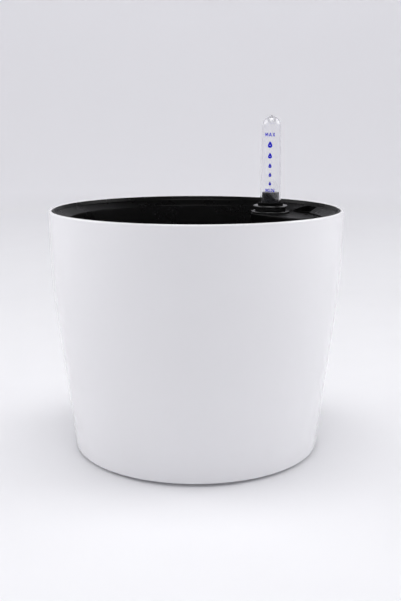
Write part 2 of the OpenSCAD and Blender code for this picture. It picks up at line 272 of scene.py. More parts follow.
class Look:
    """A node material under construction, with short names for its nodes."""

    def __init__(self, name):
        self.material = bpy.data.materials.new(name)
        self.material.use_nodes = True
        self.nodes = self.material.node_tree.nodes
        self.links = self.material.node_tree.links
        self.surface = self.nodes["Principled BSDF"]
        self.output = self.nodes["Material Output"]
        self.place = self.add("ShaderNodeTexCoord").outputs["Object"]

    def add(self, kind, **settings):
        node = self.nodes.new(kind)
        for key, value in settings.items():
            setattr(node, key, value)
        return node

    def feed(self, value, socket):
        """Links an output, or sets a plain value, on an input socket."""
        if isinstance(value, bpy.types.NodeSocket):
            self.links.new(value, socket)
        else:
            socket.default_value = value

    def set(self, **inputs):
        """Sets inputs of the principled surface, with spaces in their names written as underscores."""
        for key, value in inputs.items():
            self.feed(value, self.surface.inputs[key.replace("_", " ")])

    def stretched(self, x, y, z):
        """Coordinates scaled along each axis."""
        mapping = self.add("ShaderNodeMapping")
        mapping.inputs["Scale"].default_value = (x, y, z)
        self.links.new(self.place, mapping.inputs["Vector"])
        return mapping.outputs["Vector"]

    def noise(self, scale, detail=2.0, rough=0.5, place=None):
        node = self.add("ShaderNodeTexNoise")
        node.inputs["Scale"].default_value = scale
        node.inputs["Detail"].default_value = detail
        node.inputs["Roughness"].default_value = rough
        self.links.new(place or self.place, node.inputs["Vector"])
        return node.outputs["Fac"]

    def cells(self, scale, place=None):
        node = self.add("ShaderNodeTexVoronoi")
        node.inputs["Scale"].default_value = scale
        self.links.new(place or self.place, node.inputs["Vector"])
        return node.outputs["Distance"]

    def spread(self, source, low, high, start=0.3, end=0.7):
        """Maps a value from start..end to low..high."""
        node = self.add("ShaderNodeMapRange")
        self.feed(source, node.inputs["Value"])
        for key, value in (("From Min", start), ("From Max", end), ("To Min", low), ("To Max", high)):
            self.feed(value, node.inputs[key])
        return node.outputs["Result"]

    def blend(self, share, first, second):
        """A colour between two colours."""
        node = self.add("ShaderNodeMix", data_type="RGBA")
        self.feed(share, node.inputs["Factor"])
        colour_inputs = [s for s in node.inputs if s.type == "RGBA"]
        self.feed(first, colour_inputs[0])
        self.feed(second, colour_inputs[1])
        return [s for s in node.outputs if s.type == "RGBA"][0]

    def bump(self, height, distance, strength=1.0, under=None):
        """A bump of the given depth in metres, on top of an earlier one."""
        node = self.add("ShaderNodeBump")
        node.inputs["Strength"].default_value = strength
        node.inputs["Distance"].default_value = distance
        self.links.new(height, node.inputs["Height"])
        if under:
            self.links.new(under, node.inputs["Normal"])
        return node.outputs["Normal"]

    def join_shaders(self, share, first, second):
        """Makes a mix of two shader nodes the material's surface."""
        mix = self.add("ShaderNodeMixShader")
        self.feed(share, mix.inputs[0])
        self.links.new(first.outputs[0], mix.inputs[1])
        self.links.new(second.outputs[0], mix.inputs[2])
        self.links.new(mix.outputs[0], self.output.inputs["Surface"])

    def dull(self, shine, tint):
        """Leaves a share of the surface that reflects, and makes the rest matt."""
        matt = self.add("ShaderNodeBsdfDiffuse")
        self.links.new(tint, matt.inputs["Color"])
        self.join_shaders(shine, matt, self.surface)


def grey(value, tint=(1, 1, 1)):
    return tuple(value * t for t in tint) + (1,)


def gloss_white():
    """Glossy white polypropylene: soft waviness of a moulded wall, faint orange peel, rub marks."""
    look = Look("gloss_white_plastic")
    waves = look.noise(9, 1.5)
    peel = look.noise(520, 1.0)
    rubs = look.noise(26, 6.0, 0.65, look.stretched(1, 1, 5))
    tint = look.blend(look.noise(5, 2.0), grey(0.80, (1, 0.995, 1.01)), grey(0.83, (0.995, 0.995, 1.015)))
    relief = look.bump(peel, 0.006 * MM, 0.35, look.bump(waves, 0.5 * MM, 0.25))
    look.set(Base_Color=tint, Roughness=look.spread(rubs, 0.13, 0.2), Normal=relief,
             IOR=1.5, Coat_Weight=0.25, Coat_Roughness=0.06)
    return look.material


def satin_black(name, shine, value=0.001, low=0.2, high=0.3, grain=1500, level=0.12):
    """Black moulded plastic with a fine satin grain and slight flow marks. Shine is the share of
    its surface that reflects: the rest lies in the hollows of the grain."""
    look = Look(name)
    flow = look.noise(30, 4.0, 0.6)
    fine = look.noise(grain, 2.0)
    tint = look.blend(flow, grey(value, (1, 1, 1.03)), grey(value * 1.5, (1.02, 1, 1)))
    relief = look.bump(fine, 0.02 * MM, 0.5, look.bump(look.noise(60, 2.0), 0.12 * MM, 0.2))
    look.set(Base_Color=tint, Roughness=look.spread(flow, low, high), Normal=relief, IOR=1.5,
             Specular_IOR_Level=level)
    look.dull(shine, tint)
    return look.material


def black_rubber():
    """Soft black rubber, nearly matt, with a dusty bloom in its hollows."""
    look = Look("black_rubber")
    bloom = look.noise(240, 5.0, 0.7)
    tint = look.blend(look.spread(bloom, 0, 1, 0.45, 0.75), grey(0.0015), grey(0.003))
    look.set(Base_Color=tint, Roughness=look.spread(bloom, 0.45, 0.6), IOR=1.45, Specular_IOR_Level=0.1,
             Normal=look.bump(look.noise(1100, 3.0), 0.03 * MM, 0.6))
    look.dull(0.4, tint)
    return look.material


def clear_plastic():
    """Clear moulded plastic, which lets shadow light through as a real thin tube does. Its colour turns grey
    where it is seen edge-on: painted shade at the tube's edges.
    """
    look = Look("clear_plastic")
    ripple = look.noise(45, 2.0, 0.5, look.stretched(1, 1, 0.35))
    # Painted shade: a grey that grows as the surface turns edge-on, standing in for the dark surroundings
    # seen through the tube's edges
    edge = look.add("ShaderNodeLayerWeight")
    edge.inputs["Blend"].default_value = 0.5
    tint = look.blend(look.spread(edge.outputs["Facing"], 0, 1, 0.55, 1), grey(0.975, (0.995, 0.995, 1.005)),
                      grey(0.80, (1, 0.995, 1.01)))
    look.set(Base_Color=tint, Roughness=look.spread(look.noise(150, 3.0), 0.01, 0.045), IOR=1.5,
             Transmission_Weight=1.0, Normal=look.bump(ripple, 0.25 * MM, 0.25))
    rays = look.add("ShaderNodeLightPath")
    through = look.add("ShaderNodeBsdfTransparent")
    through.inputs["Color"].default_value = (0.93, 0.94, 0.95, 1)
    look.join_shaders(rays.outputs["Is Shadow Ray"], look.surface, through)
    return look.material


def blue_ink():
    """Screen-printed blue ink, slightly uneven in cover."""
    look = Look("blue_ink")
    cover = look.noise(900, 3.0)
    tint = look.blend(cover, (0.0, 0.004, 0.66, 1), (0.0, 0.006, 0.76, 1))
    look.set(Base_Color=tint, Specular_IOR_Level=0.05,
             Roughness=look.spread(cover, 0.45, 0.6), Normal=look.bump(cover, 0.01 * MM, 0.4))
    return look.material


def satin_grey():
    """Dark grey moulded plastic of the indicator."""
    look = Look("grey_indicator_plastic")
    flow = look.noise(110, 4.0)
    look.set(Base_Color=look.blend(flow, grey(0.011, (1, 1, 1.2)), grey(0.016, (1, 1, 1.2))),
             Roughness=look.spread(flow, 0.2, 0.3), Normal=look.bump(look.noise(1400, 2.0), 0.01 * MM, 0.3))
    return look.material


def natural_plastic():
    """Milky unpainted plastic of the float's rod."""
    look = Look("natural_rod_plastic")
    flow = look.noise(80, 3.0, 0.5, look.stretched(1, 1, 0.1))
    look.set(Base_Color=look.blend(flow, grey(0.60, (1, 0.99, 0.95)), grey(0.70, (1, 0.99, 0.96))),
             Roughness=look.spread(flow, 0.3, 0.42),
             Normal=look.bump(look.noise(900, 2.0), 0.01 * MM, 0.5))
    return look.material


def closed_foam():
    """White closed-cell foam: small packed beads with darker seams."""
    look = Look("closed_cell_foam")
    beads = look.cells(620)
    tint = look.blend(look.spread(beads, 0, 1, 0.0, 0.6), grey(0.80, (1, 0.98, 0.93)),
                      grey(0.62, (1, 0.97, 0.9)))
    domes = look.spread(beads, 1, 0, 0, 0.6)
    look.set(Base_Color=tint, Roughness=0.75, Normal=look.bump(domes, 0.12 * MM, 0.8))
    return look.material


def cotton():
    """Off-white cotton yarn with fine fibres."""
    look = Look("cotton_cord")
    fibre = look.noise(1500, 5.0, 0.75, look.stretched(1, 1, 0.25))
    stain = look.noise(25, 3.0)
    dry = look.blend(fibre, grey(0.62, (1, 0.95, 0.83)), grey(0.84, (1, 0.97, 0.88)))
    tint = look.blend(look.spread(stain, 0, 0.4, 0.5, 0.8), dry, grey(0.45, (1, 0.88, 0.7)))
    look.set(Base_Color=tint, Roughness=0.9, Sheen_Weight=0.4, Sheen_Roughness=0.4,
             Normal=look.bump(fibre, 0.25 * MM, 0.9))
    return look.material


WHITE = gloss_white()
LINER_BLACK = satin_black("black_liner_plastic", 0.5, low=0.24, high=0.34, level=0.18)
GAUGE_BLACK = satin_black("black_gauge_plastic", 0.9, 0.003, 0.18, 0.26, 2200, 0.7)
RUBBER = black_rubber()
CLEAR = clear_plastic()
INK = blue_ink()
GREY = satin_grey()
ROD = natural_plastic()
FOAM = closed_foam()
COTTON = cotton()


# ---------------------------------------------------------------- outer pot

def turned(depth):
    """How far the wall has turned inwards at a depth below the rim, per unit of slope."""
    if depth < TURN_FROM:
        return 0
    if depth < TURN_TO:
        return (depth - TURN_FROM) ** 2 / (2 * (TURN_TO - TURN_FROM))
    return depth - TURN_FROM - (TURN_TO - TURN_FROM) / 2


def wall_r(z):
    """Outer radius of the pot's wall at height z."""
    depth = POT_H - z
    return RIM_R - SLOPE_TOP * depth - (SLOPE_LOW - SLOPE_TOP) * turned(depth)


def pot_outline():
    """Half section of the pot, from its drain hole round the foot, wall, rim and inside."""
    foot_round, foot_root, edge, fillet, steps = 0.8 * MM, 1.5 * MM, 0.5 * MM, 6 * MM, 56
    rim_round = POT_WALL / 2
    foot_out = wall_r(0) - FOOT_GAP_W
    foot_in = foot_out - FOOT_W
    wall_low, wall_high = FOOT_GAP_H + foot_round, POT_H - rim_round
    inside_low = FLOOR_Z + fillet
    outline = [(DRAIN_R, BOSS_Z), (BOSS_R - edge, BOSS_Z), (BOSS_R, BOSS_Z + edge), (BOSS_R, FOOT_H)]
    outline += arc(foot_in - foot_root, FOOT_H - foot_root, foot_root, 90, 0, 5)
    outline += arc(foot_in + edge, edge, edge, 180, 270, 4)
    outline += arc(foot_out - edge, edge, edge, -90, 0, 4)
    outline += arc(foot_out + edge, FOOT_GAP_H - edge, edge, 180, 90, 4)
    outline += arc(wall_r(wall_low) - foot_round, wall_low, foot_round, -90, 0, 8)
    heights = [wall_low + (wall_high - wall_low) * i / steps for i in range(1, steps + 1)]
    outline += [(wall_r(z), z) for z in heights]
    outline += arc(RIM_R - rim_round, wall_high, rim_round, 12, 168, 14)
    heights = [inside_low + (wall_high - inside_low) * i / steps for i in range(steps, 0, -1)]
    outline += [(wall_r(z) - POT_WALL, z) for z in heights]
    outline += arc(wall_r(inside_low) - POT_WALL - fillet, inside_low, fillet, 0, -90, 8)
    outline += [(DRAIN_R + edge, FLOOR_Z), (DRAIN_R, FLOOR_Z - edge)]
    return outline


def build_pot():
    pot = lathe("pot_shell", pot_outline(), steps=256)
    rib_w, rib_sunk, ribs, embed = 1.6 * MM, 0.1 * MM, 8, 0.8 * MM
    start, end = BOSS_R - embed, wall_r(0) - FOOT_GAP_W - FOOT_W + embed
    for k in range(ribs):
        rib = block((start, -rib_w / 2, BOSS_Z + rib_sunk), (end, rib_w / 2, FOOT_H + embed))
        rib.data.transform(Matrix.Rotation(2 * math.pi * (k + 0.5) / ribs, 4, "Z"))
        join(pot, rib)
    weld(pot)
    smooth(pot)
    return dress(pot, WHITE, "white_gloss_plastic", "pot", "outer_pot")


def build_plug():
    """Drain plug with a finger bar across its sunk head."""
    edge, pocket_r, pocket_h, bar_w, bar_sunk = 0.6 * MM, 7.4 * MM, 5 * MM, 3 * MM, 0.3 * MM
    low, top, shoulder = plug_low.z, plug_high.z, plug_washer_low.z
    head_r, shaft_r, pocket_top = plug_high.x, DRAIN_R - 0.1 * MM, low + pocket_h
    outline = [(0, pocket_top), (pocket_r - edge, pocket_top), (pocket_r, pocket_top - edge)]
    outline += arc(pocket_r + edge, low + edge, edge, 180, 270, 5)
    outline += arc(head_r - edge, low + edge, edge, -90, 0, 5)
    outline += arc(head_r - edge, shoulder - edge, edge, 0, 90, 5)
    outline += [(shaft_r, shoulder)]
    outline += arc(shaft_r - edge, top - edge, edge, 0, 90, 5)
    outline += [(0, top)]
    plug = lathe("drain_plug_screw", outline, steps=128)
    reach = pocket_r + edge
    bar = block((-reach, -bar_w / 2, low + bar_sunk), (reach, bar_w / 2, pocket_top + edge))
    join(plug, bar)
    weld(plug)
    smooth(plug)
    return dress(plug, GAUGE_BLACK, "black_gauge_plastic", "plug", "drain_plug")


def washer(name, low, high, inner, centre, body, node):
    """A flat rubber washer with rounded edges."""
    edge = (high.z - low.z) * 0.35
    outer = half_width(low, high)
    outline = arc(inner + edge, low.z + edge, edge, 180, 270, 3)
    outline += arc(outer - edge, low.z + edge, edge, -90, 0, 3)
    outline += arc(outer - edge, high.z - edge, edge, 0, 90, 3)
    outline += arc(inner + edge, high.z - edge, edge, 90, 180, 3)
    piece = smooth(lathe(name, outline, centre, 128))
    return dress(piece, RUBBER, "black_rubber", body, node)


# ---------------------------------------------------------------- liner

SHAFT_NOSE_R = 17.8 * MM
SHAFT_X = GAUGE.x - SHAFT_NOSE_R
SHAFT_FRONT_Y = -62 * MM
SHAFT_CORNER_R = 12 * MM
RECESS_OUT_R = LIP_R - 3.9 * MM
RECESS_FRONT_Y = -34 * MM
RECESS_CORNER = (112 * MM, -21.5 * MM)
RECESS_CORNER_R = 19 * MM
FILL_LOW = (117.5 * MM, -31.5 * MM)
FILL_HIGH = (127 * MM, -9 * MM)
FILL_CORNER_R = 3.5 * MM


def cup_r(z):
    """Inner radius of the soil cup at height z."""
    return CUP_FLOOR_R + (CUP_TOP_R - CUP_FLOOR_R) * (z - CUP_FLOOR_Z) / (LEDGE_Z - CUP_FLOOR_Z)


def liner_outline():
    """Half section of the liner: soil cup, shallow funnel, steep band and skirt."""
    lip_w, lip_round, lip_root, edge = 1.2 * MM, 0.9 * MM, 0.7 * MM, 0.2 * MM
    skirt_h, skirt_root_h, flare_h = 14 * MM, 7.6 * MM, 5 * MM
    fillet, band_round, mouth_round, floor_round = 3 * MM, 1.5 * MM, 1 * MM, 2 * MM
    band_r, band_z = LIP_R - 4.2 * MM, LIP_Z - 2.45 * MM
    mouth_z, floor_r = FUNNEL_Z - 0.6 * MM, cup_r(CUP_FLOOR_Z) - 1.6 * MM
    outline = [(0, CUP_Z)]
    outline += arc(cup_r(CUP_Z) + LINER_WALL - fillet, CUP_Z + fillet, fillet, -90, -8, 6)
    outline += [(cup_r(LEDGE_Z - flare_h) + LINER_WALL, LEDGE_Z - flare_h)]
    outline += [(LIP_R - SKIRT_W, LIP_Z - skirt_root_h), (LIP_R - SKIRT_W, LIP_Z - skirt_h)]
    outline += [(LIP_R - edge, LIP_Z - skirt_h), (LIP_R, LIP_Z - skirt_h + edge)]
    outline += arc(LIP_R - lip_round, LIP_Z - lip_round, lip_round, 0, 88, 8)
    outline += arc(LIP_R - lip_w, LIP_Z - lip_root, lip_root, 92, 156, 6)
    outline += arc(band_r, band_z, band_round, -27, -64, 7)
    outline += arc(CUP_TOP_R + mouth_round, mouth_z, mouth_round, 115, 172, 6)
    outline += arc(floor_r, CUP_FLOOR_Z + floor_round, floor_round, -8, -90, 6)
    outline += [(0, CUP_FLOOR_Z)]
    return outline


def shaft_plan(grow):
    """Plan of the shaft behind the soil cup, grown outwards, open towards the rim."""
    nose_r, out = SHAFT_NOSE_R + grow, RIM_R + 20 * MM
    x, y = SHAFT_X - grow, SHAFT_FRONT_Y - grow
    corner = SHAFT_CORNER_R
    plan = [(out, y)]
    plan += arc(x + corner, y + corner, corner, 270, 180, 12)
    plan += arc(GAUGE.x, GAUGE.y, nose_r, 180, 90, 32)
    plan += [(out, GAUGE.y + nose_r)]
    return plan


def shaft_block(grow, low, high, rounding=0.0):
    """The shaft as a solid, with its top edge rounded if a radius is given."""
    steps = 7 if rounding else 0
    layers = [(low, 0.0)]
    for i in range(steps + 1):
        turn = math.radians(90 * i / max(steps, 1))
        layers.append((high - rounding * (1 - math.sin(turn)), rounding * (1 - math.cos(turn))))
    return stack("shaft", [[(x, y, z) for x, y in shaft_plan(grow - inset)] for z, inset in layers])


def rounded_box(low, high, z_levels, corner):
    """A box with rounded upright edges, through (height, outset) levels."""
    loops = []
    for z, outset in z_levels:
        x0, y0 = low[0] - outset, low[1] - outset
        x1, y1 = high[0] + outset, high[1] + outset
        r = corner + outset
        loop = arc(x1 - r, y1 - r, r, 0, 90, 8) + arc(x0 + r, y1 - r, r, 90, 180, 8)
        loop += arc(x0 + r, y0 + r, r, 180, 270, 8) + arc(x1 - r, y0 + r, r, 270, 360, 8)
        loops.append([(x, y, z) for x, y in loop])
    return stack("opening", loops)


def pegs(places, r, low, high, steps=32):
    """Upright cylinders at several places, as one cutter."""
    bm = bmesh.new()
    for x, y in places:
        made = bmesh.ops.create_cone(bm, cap_ends=True, segments=steps, radius1=r, radius2=r,
                                     depth=high - low)
        bmesh.ops.translate(bm, verts=made["verts"], vec=(x, y, (low + high) / 2))
    return mesh_object("pegs", bm)


def polar(r, degrees):
    return (r * math.cos(math.radians(degrees)), r * math.sin(math.radians(degrees)))


LEG_ANGLE = 47
LEG_RING_R = 68 * MM
LEG_R = 13 * MM
LEG_TAPER = 2 * MM
LEG_PLACES = [polar(LEG_RING_R, a) for a in (LEG_ANGLE, 180 - LEG_ANGLE, 180 + LEG_ANGLE, 360 - LEG_ANGLE)]
CORD_RING_R = 60 * MM
CORD_R = 3.6 * MM
CORD_PLACES = [(0, 0), (-CORD_RING_R, 0), (0, CORD_RING_R), (0, -CORD_RING_R)]


def drainage_places():
    """The small holes of the soil cup's floor: a ring of eight, and a wide one that skips the legs and
    the shaft's side."""
    ring_r, wide_r = 30 * MM, 88 * MM
    inner = [polar(ring_r, 22.5 + 45 * k) for k in range(8)]
    clear = [a for a in range(72, 289, 18) if min(abs(a - 180 + LEG_ANGLE), abs(a - 180 - LEG_ANGLE)) > 8]
    return inner + [polar(wide_r, a) for a in clear]


def add_shaft(liner):
    """Opens the cup for the shaft behind it, and adds the shaft's wall and ledge."""
    below, reach_r, ledge_round = 1 * MM, 126.4 * MM, 1.2 * MM
    under_ledge = LEDGE_Z - LINER_WALL
    reach = [(0, CUP_Z - below), (reach_r, CUP_Z - below), (reach_r, LEDGE_Z), (0, LEDGE_Z)]
    cut(liner, common(shaft_block(0, CUP_Z - below, under_ledge), lathe("reach", reach, steps=192)))
    low, high, embed = CUP_Z - below, LEDGE_Z + below, 1.1 * MM
    inside = [(0, low), (cup_r(low) + embed, low), (cup_r(high) + embed, high), (0, high)]
    wall = common(shaft_block(LINER_WALL, CUP_Z, LEDGE_Z, ledge_round), lathe("inside", inside, steps=192))
    cut(wall, shaft_block(0, CUP_Z - below, under_ledge))
    join(liner, wall)


def recess_plan(grow):
    """Plan of the recess: along the inside of the steep band, then round and back to the ledge."""
    out_r, front = RECESS_OUT_R + grow, RECESS_FRONT_Y - grow
    corner_x, corner_y = RECESS_CORNER
    plan = [(GAUGE.x, front)]
    plan += [(math.sqrt(out_r ** 2 - y ** 2), y)
             for y in (front + (corner_y - front) * i / 10 for i in range(11))]
    back = math.degrees(math.acos((GAUGE.x - corner_x) / (RECESS_CORNER_R + grow)))
    for x, y in arc(corner_x, corner_y, RECESS_CORNER_R + grow, 3, back, 40):
        inside = min(1.0, out_r / math.hypot(x, y))
        plan.append((x * inside, y * inside))
    return plan


def recess_block(levels):
    """The recess as a solid, through (height, grow) levels."""
    return stack("recess", [[(x, y, z) for x, y in recess_plan(grow)] for z, grow in levels])


def add_recess(liner):
    """Sinks the recess for filling water into the funnel, with its own walls and floor below."""
    w, embed, under_band, under_mouth = LINER_WALL, 0.3 * MM, 5.8 * MM, 1 * MM
    start, out_r, top = CUP_TOP_R - 2 * MM, LIP_R - SKIRT_W + embed, LEDGE_Z - embed
    profile = [(start, LEDGE_Z - w), (out_r, LEDGE_Z - w), (out_r, LIP_Z - under_band),
               (CUP_TOP_R + under_mouth, top), (start, top)]
    shell = recess_block([(LEDGE_Z - 2 * w, w), (LIP_Z, w)])
    join(liner, common(shell, lathe("under_lip", profile, steps=192)))
    fillet, above = 0.5 * MM, 1 * MM
    cut(liner, recess_block([(LEDGE_Z, -fillet), (LEDGE_Z + 0.3 * fillet, -0.3 * fillet),
                             (LEDGE_Z + fillet, 0), (LIP_Z + above, 0)]))


def add_legs(liner):
    """Four hollow slotted legs that stand on the pot's floor and fill with soil."""
    slot_w, slot_low, slot_high = 2.6 * MM, FLOOR_Z + 8 * MM, CUP_Z - 14 * MM
    edge, embed, flare, above = 1 * MM, 1 * MM, 1.5 * MM, 0.1 * MM
    inside_r, reach = LEG_R - LINER_WALL, LEG_R + 2 * MM
    for x, y in LEG_PLACES:
        outline = [(0, FLOOR_Z)]
        outline += arc(LEG_R - LEG_TAPER - edge, FLOOR_Z + edge, edge, -90, -2, 5)
        outline += [(LEG_R, CUP_Z + embed), (0, CUP_Z + embed)]
        join(liner, lathe("leg", outline, (x, y), 64))
    for x, y in LEG_PLACES:
        low, mouth = FLOOR_Z + LINER_WALL, CUP_FLOOR_Z
        outline = [(0, low), (LEG_R - LEG_TAPER - LINER_WALL, low), (inside_r, mouth - flare)]
        outline += [(inside_r + flare + above, mouth + above), (0, mouth + above)]
        cut(liner, lathe("hollow", outline, (x, y), 64))
        for turn in (0, 60, 120):
            slot = block((-reach, -slot_w / 2, slot_low), (reach, slot_w / 2, slot_high))
            spin = Matrix.Rotation(math.atan2(y, x) + math.radians(turn), 4, "Z")
            slot.data.transform(Matrix.Translation((x, y, 0)) @ spin)
            cut(liner, slot)


def build_liner():
    liner = lathe("liner_shell", liner_outline(), steps=256)
    add_shaft(liner)
    add_recess(liner)
    add_legs(liner)
    low, high, reach = CUP_Z - 1 * MM, CUP_FLOOR_Z + 1 * MM, 10 * MM
    hole_r, cord_room = 2.4 * MM, 0.4 * MM
    cut(liner, pegs(drainage_places(), hole_r, low, high, 24))
    cut(liner, pegs(CORD_PLACES, CORD_R + cord_room, low, high, 40))
    cut(liner, pegs([tuple(GAUGE)], SOCKET_SPIGOT_R, LEDGE_Z - reach, LEDGE_Z + reach, 128))
    # Height above the ledge and outset of the filling opening, in millimetres
    rounding = [(-7, 0), (-0.6, 0), (-0.2, 0.15), (0.1, 0.6)]
    levels = [(LEDGE_Z + rise * MM, outset * MM) for rise, outset in rounding]
    cut(liner, rounded_box(FILL_LOW, FILL_HIGH, levels, FILL_CORNER_R))
    weld(liner)
    smooth(liner)
    return dress(liner, LINER_BLACK, "black_liner_plastic", "liner", "inner_liner")


def rope(name, path, r, twist_per_m, body):
    """A rope of three twisted strands along a path of points, as one mesh."""
    strands, sides, strand_r = 3, 8, r * 0.54
    bm = bmesh.new()
    tangents = [(path[min(i + 1, len(path) - 1)] - path[max(i - 1, 0)]).normalized()
                for i in range(len(path))]
    side = tangents[0].orthogonal().normalized()
    sides_along, run = [], 0.0
    for i, tangent in enumerate(tangents):
        side = (side - tangent * side.dot(tangent)).normalized()
        if i:
            run += (path[i] - path[i - 1]).length
        sides_along.append((side.copy(), tangent.cross(side), run))
    for strand in range(strands):
        rows = []
        for point, (across, up, length) in zip(path, sides_along):
            turn = length * twist_per_m + 2 * math.pi * strand / strands
            centre = point + (across * math.cos(turn) + up * math.sin(turn)) * (r - strand_r)
            rows.append([bm.verts.new(centre + (across * math.cos(a) + up * math.sin(a)) * strand_r)
                         for a in (2 * math.pi * k / sides for k in range(sides))])
        skin(bm, rows)
    cord = mesh_object(name, bm)
    smooth(cord, 70)
    return dress(cord, COTTON, "wick_cotton", body)


def build_cords():
    """Four twisted cotton wicks that hang from the soil into the water."""
    step, lay, buried, sway_pitch = 0.6 * MM, 13 * MM, 6 * MM, 9 * MM
    low, length = cords_low.z, cords_high.z - cords_low.z
    count = int(length / step)
    for number, (x, y) in enumerate(CORD_PLACES, 1):
        path = []
        for i in range(count + 1):
            z = low + length * i / count
            free = max(0.0, z - CUP_FLOOR_Z - buried)
            sway = 0.05 * free * math.sin(free / sway_pitch + number)
            path.append(Vector((x + sway, y + 0.6 * sway, z)))
        cord = rope(f"wick_cord_{number}", path, CORD_R, 2 * math.pi / lay, "liner")
        if number == 1:
            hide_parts("wick_cords")


# ---------------------------------------------------------------- gauge

def turned_piece(name, outline, material, slot, body, node, steps=128):
    """A lathed piece of the gauge, dressed to stand for its CAD node."""
    piece = smooth(lathe(name, outline, tuple(GAUGE), steps))
    return dress(piece, material, slot, body, node)


def build_socket():
    bore, spigot_r = 13.2 * MM, SOCKET_SPIGOT_R - FIT
    low, high, outer = socket_low.z, socket_high.z, half_width(socket_low, socket_high)
    edge, under_edge, chamfer = 0.5 * MM, 0.2 * MM, 0.3 * MM
    outline = [(bore, low + chamfer), (bore + chamfer, low), (spigot_r - chamfer, low),
               (spigot_r, low + chamfer), (spigot_r, LEDGE_Z)]
    outline += arc(outer - under_edge, LEDGE_Z + under_edge, under_edge, -90, 0, 3)
    outline += arc(outer - edge, high - edge, edge, 0, 90, 6)
    outline += arc(bore + chamfer, high - chamfer, chamfer, 90, 180, 4)
    turned_piece("ledge_socket_ring", outline, GAUGE_BLACK, "black_gauge_plastic", "liner", "socket_ring")


def build_gauge_base():
    """Grip flange, with the spigot below it and the seat for the tube above."""
    body_h, grip_h, seat_h, edge, tube_room = 3.1 * MM, 2.1 * MM, 0.8 * MM, 0.4 * MM, 0.2 * MM
    body_z, grip_z, seat_z = washer_high.z, washer_high.z + body_h, tube_low.z
    grip_r, seat_r = half_width(base_low, base_high), TUBE_R + tube_room
    inner, shoulder_r, body_r = PIPE_R + FIT, 9 * MM, 15.8 * MM
    round_r, low, draft = grip_h / 2, base_low.z, 0.05 * MM
    outline = [(inner, low), (GAUGE_SPIGOT_R - edge, low), (GAUGE_SPIGOT_R, low + edge),
               (GAUGE_SPIGOT_R, body_z), (body_r, body_z), (body_r, grip_z)]
    outline += arc(grip_r - round_r, grip_z + round_r, round_r, -84, 84, 14)
    outline += [(COLLAR_R + draft, grip_z + grip_h)]
    outline += [(COLLAR_R, seat_z + seat_h), (seat_r, seat_z + seat_h), (seat_r, seat_z),
                (shoulder_r, seat_z), (shoulder_r, body_z - edge), (inner, body_z - edge)]
    turned_piece("gauge_grip_base", outline, GAUGE_BLACK, "black_gauge_plastic", "gauge", "gauge_base")


def build_collar():
    inner, low, high = TUBE_R + 0.1 * MM, collar_low.z, collar_high.z
    edge, inner_edge = 0.7 * MM, 0.3 * MM
    outline = [(inner, low), (COLLAR_R - 0.1 * MM, low)]
    outline += arc(COLLAR_R - edge, high - edge, edge, 0, 90, 6)
    outline += arc(inner + inner_edge, high - inner_edge, inner_edge, 90, 180, 4)
    turned_piece("tube_rubber_collar", outline, RUBBER, "black_rubber", "gauge", "tube_collar")


def tube_r_at(z):
    """Outer radius of the clear tube at height z, below its dome."""
    return TUBE_R + (TUBE_TOP_R - TUBE_R) * (z - tube_low.z) / (DOME_Z - tube_low.z)


def build_tube():
    inner_top, tip_r = TUBE_TOP_R - TUBE_WALL, 0.9 * MM
    edge, tip_z = 0.2 * MM, tube_high.z
    outline = arc(TUBE_R - TUBE_WALL + edge, tube_low.z + edge, edge, 180, 270, 3)
    outline += arc(TUBE_R - edge, tube_low.z + edge, edge, -90, 0, 3)
    heights = [tube_low.z + (DOME_Z - tube_low.z) * k / 8 for k in range(1, 8)]
    outline += [(tube_r_at(z), z) for z in heights]
    outline += arc(0, DOME_Z, TUBE_TOP_R, 0, 83, 20)
    outline += arc(0, tip_z - tip_r, tip_r, 35, 90, 5)[:-1] + [(0, tip_z)]
    outline += [(0, DOME_Z + inner_top)] + arc(0, DOME_Z, inner_top, 86, 0, 20)
    outline += [(tube_r_at(z) - TUBE_WALL, z) for z in reversed(heights)]
    turned_piece("clear_gauge_tube", outline, CLEAR, "clear_tube", "tube", "gauge_tube")


# Direction in which the printed scale faces, and how far it strays sideways per unit of height
PRINT_AZIMUTH = math.radians(-135.5)
PRINT_SLANT = 0.012


def wrap_print(obj, body):
    """Bends a flat print in the XY plane round the tube: X goes round it and Y goes up."""
    longest = 0.9 * MM
    bm = bmesh.new()
    bm.from_mesh(obj.data)
    bmesh.ops.triangulate(bm, faces=bm.faces)
    for _ in range(3):
        long_edges = [e for e in bm.edges if e.calc_length() > longest]
        if long_edges:
            bmesh.ops.subdivide_edges(bm, edges=long_edges, cuts=1)
            bmesh.ops.triangulate(bm, faces=[f for f in bm.faces if len(f.verts) > 3])
    for v in bm.verts:
        z, rise = v.co.y, v.co.z
        r = tube_r_at(z) + rise
        turn = PRINT_AZIMUTH + (v.co.x - PRINT_SLANT * (z - POT_H)) / tube_r_at(z)
        v.co = Vector((GAUGE.x + r * math.cos(turn), GAUGE.y + r * math.sin(turn), z))
    bm.to_mesh(obj.data)
    bm.free()
    return dress(obj, INK, "clear_tube", body)


def filled(name, splines, thickness=0.05 * MM):
    """A thin flat solid bounded by closed splines, the inner ones being holes, just off the plane."""
    lift = 0.01 * MM
    curve = bpy.data.curves.new(name, "CURVE")
    curve.dimensions = "2D"
    curve.fill_mode = "BOTH"
    curve.extrude = thickness / 2
    for points in splines:
        spline = curve.splines.new("POLY")
        spline.points.add(len(points) - 1)
        for place, (x, y) in zip(spline.points, points):
            place.co = (x, y, 0, 1)
        spline.use_cyclic_u = True
    source = link(bpy.data.objects.new(name + "_curve", curve))
    bpy.context.view_layer.update()
    graph = bpy.context.evaluated_depsgraph_get()
    mesh = bpy.data.meshes.new_from_object(source.evaluated_get(graph))
    mesh.transform(Matrix.Translation((0, 0, thickness / 2 + lift)))
    bpy.data.objects.remove(source)
    obj = link(bpy.data.objects.new(name, mesh))
    weld(obj)
    return obj


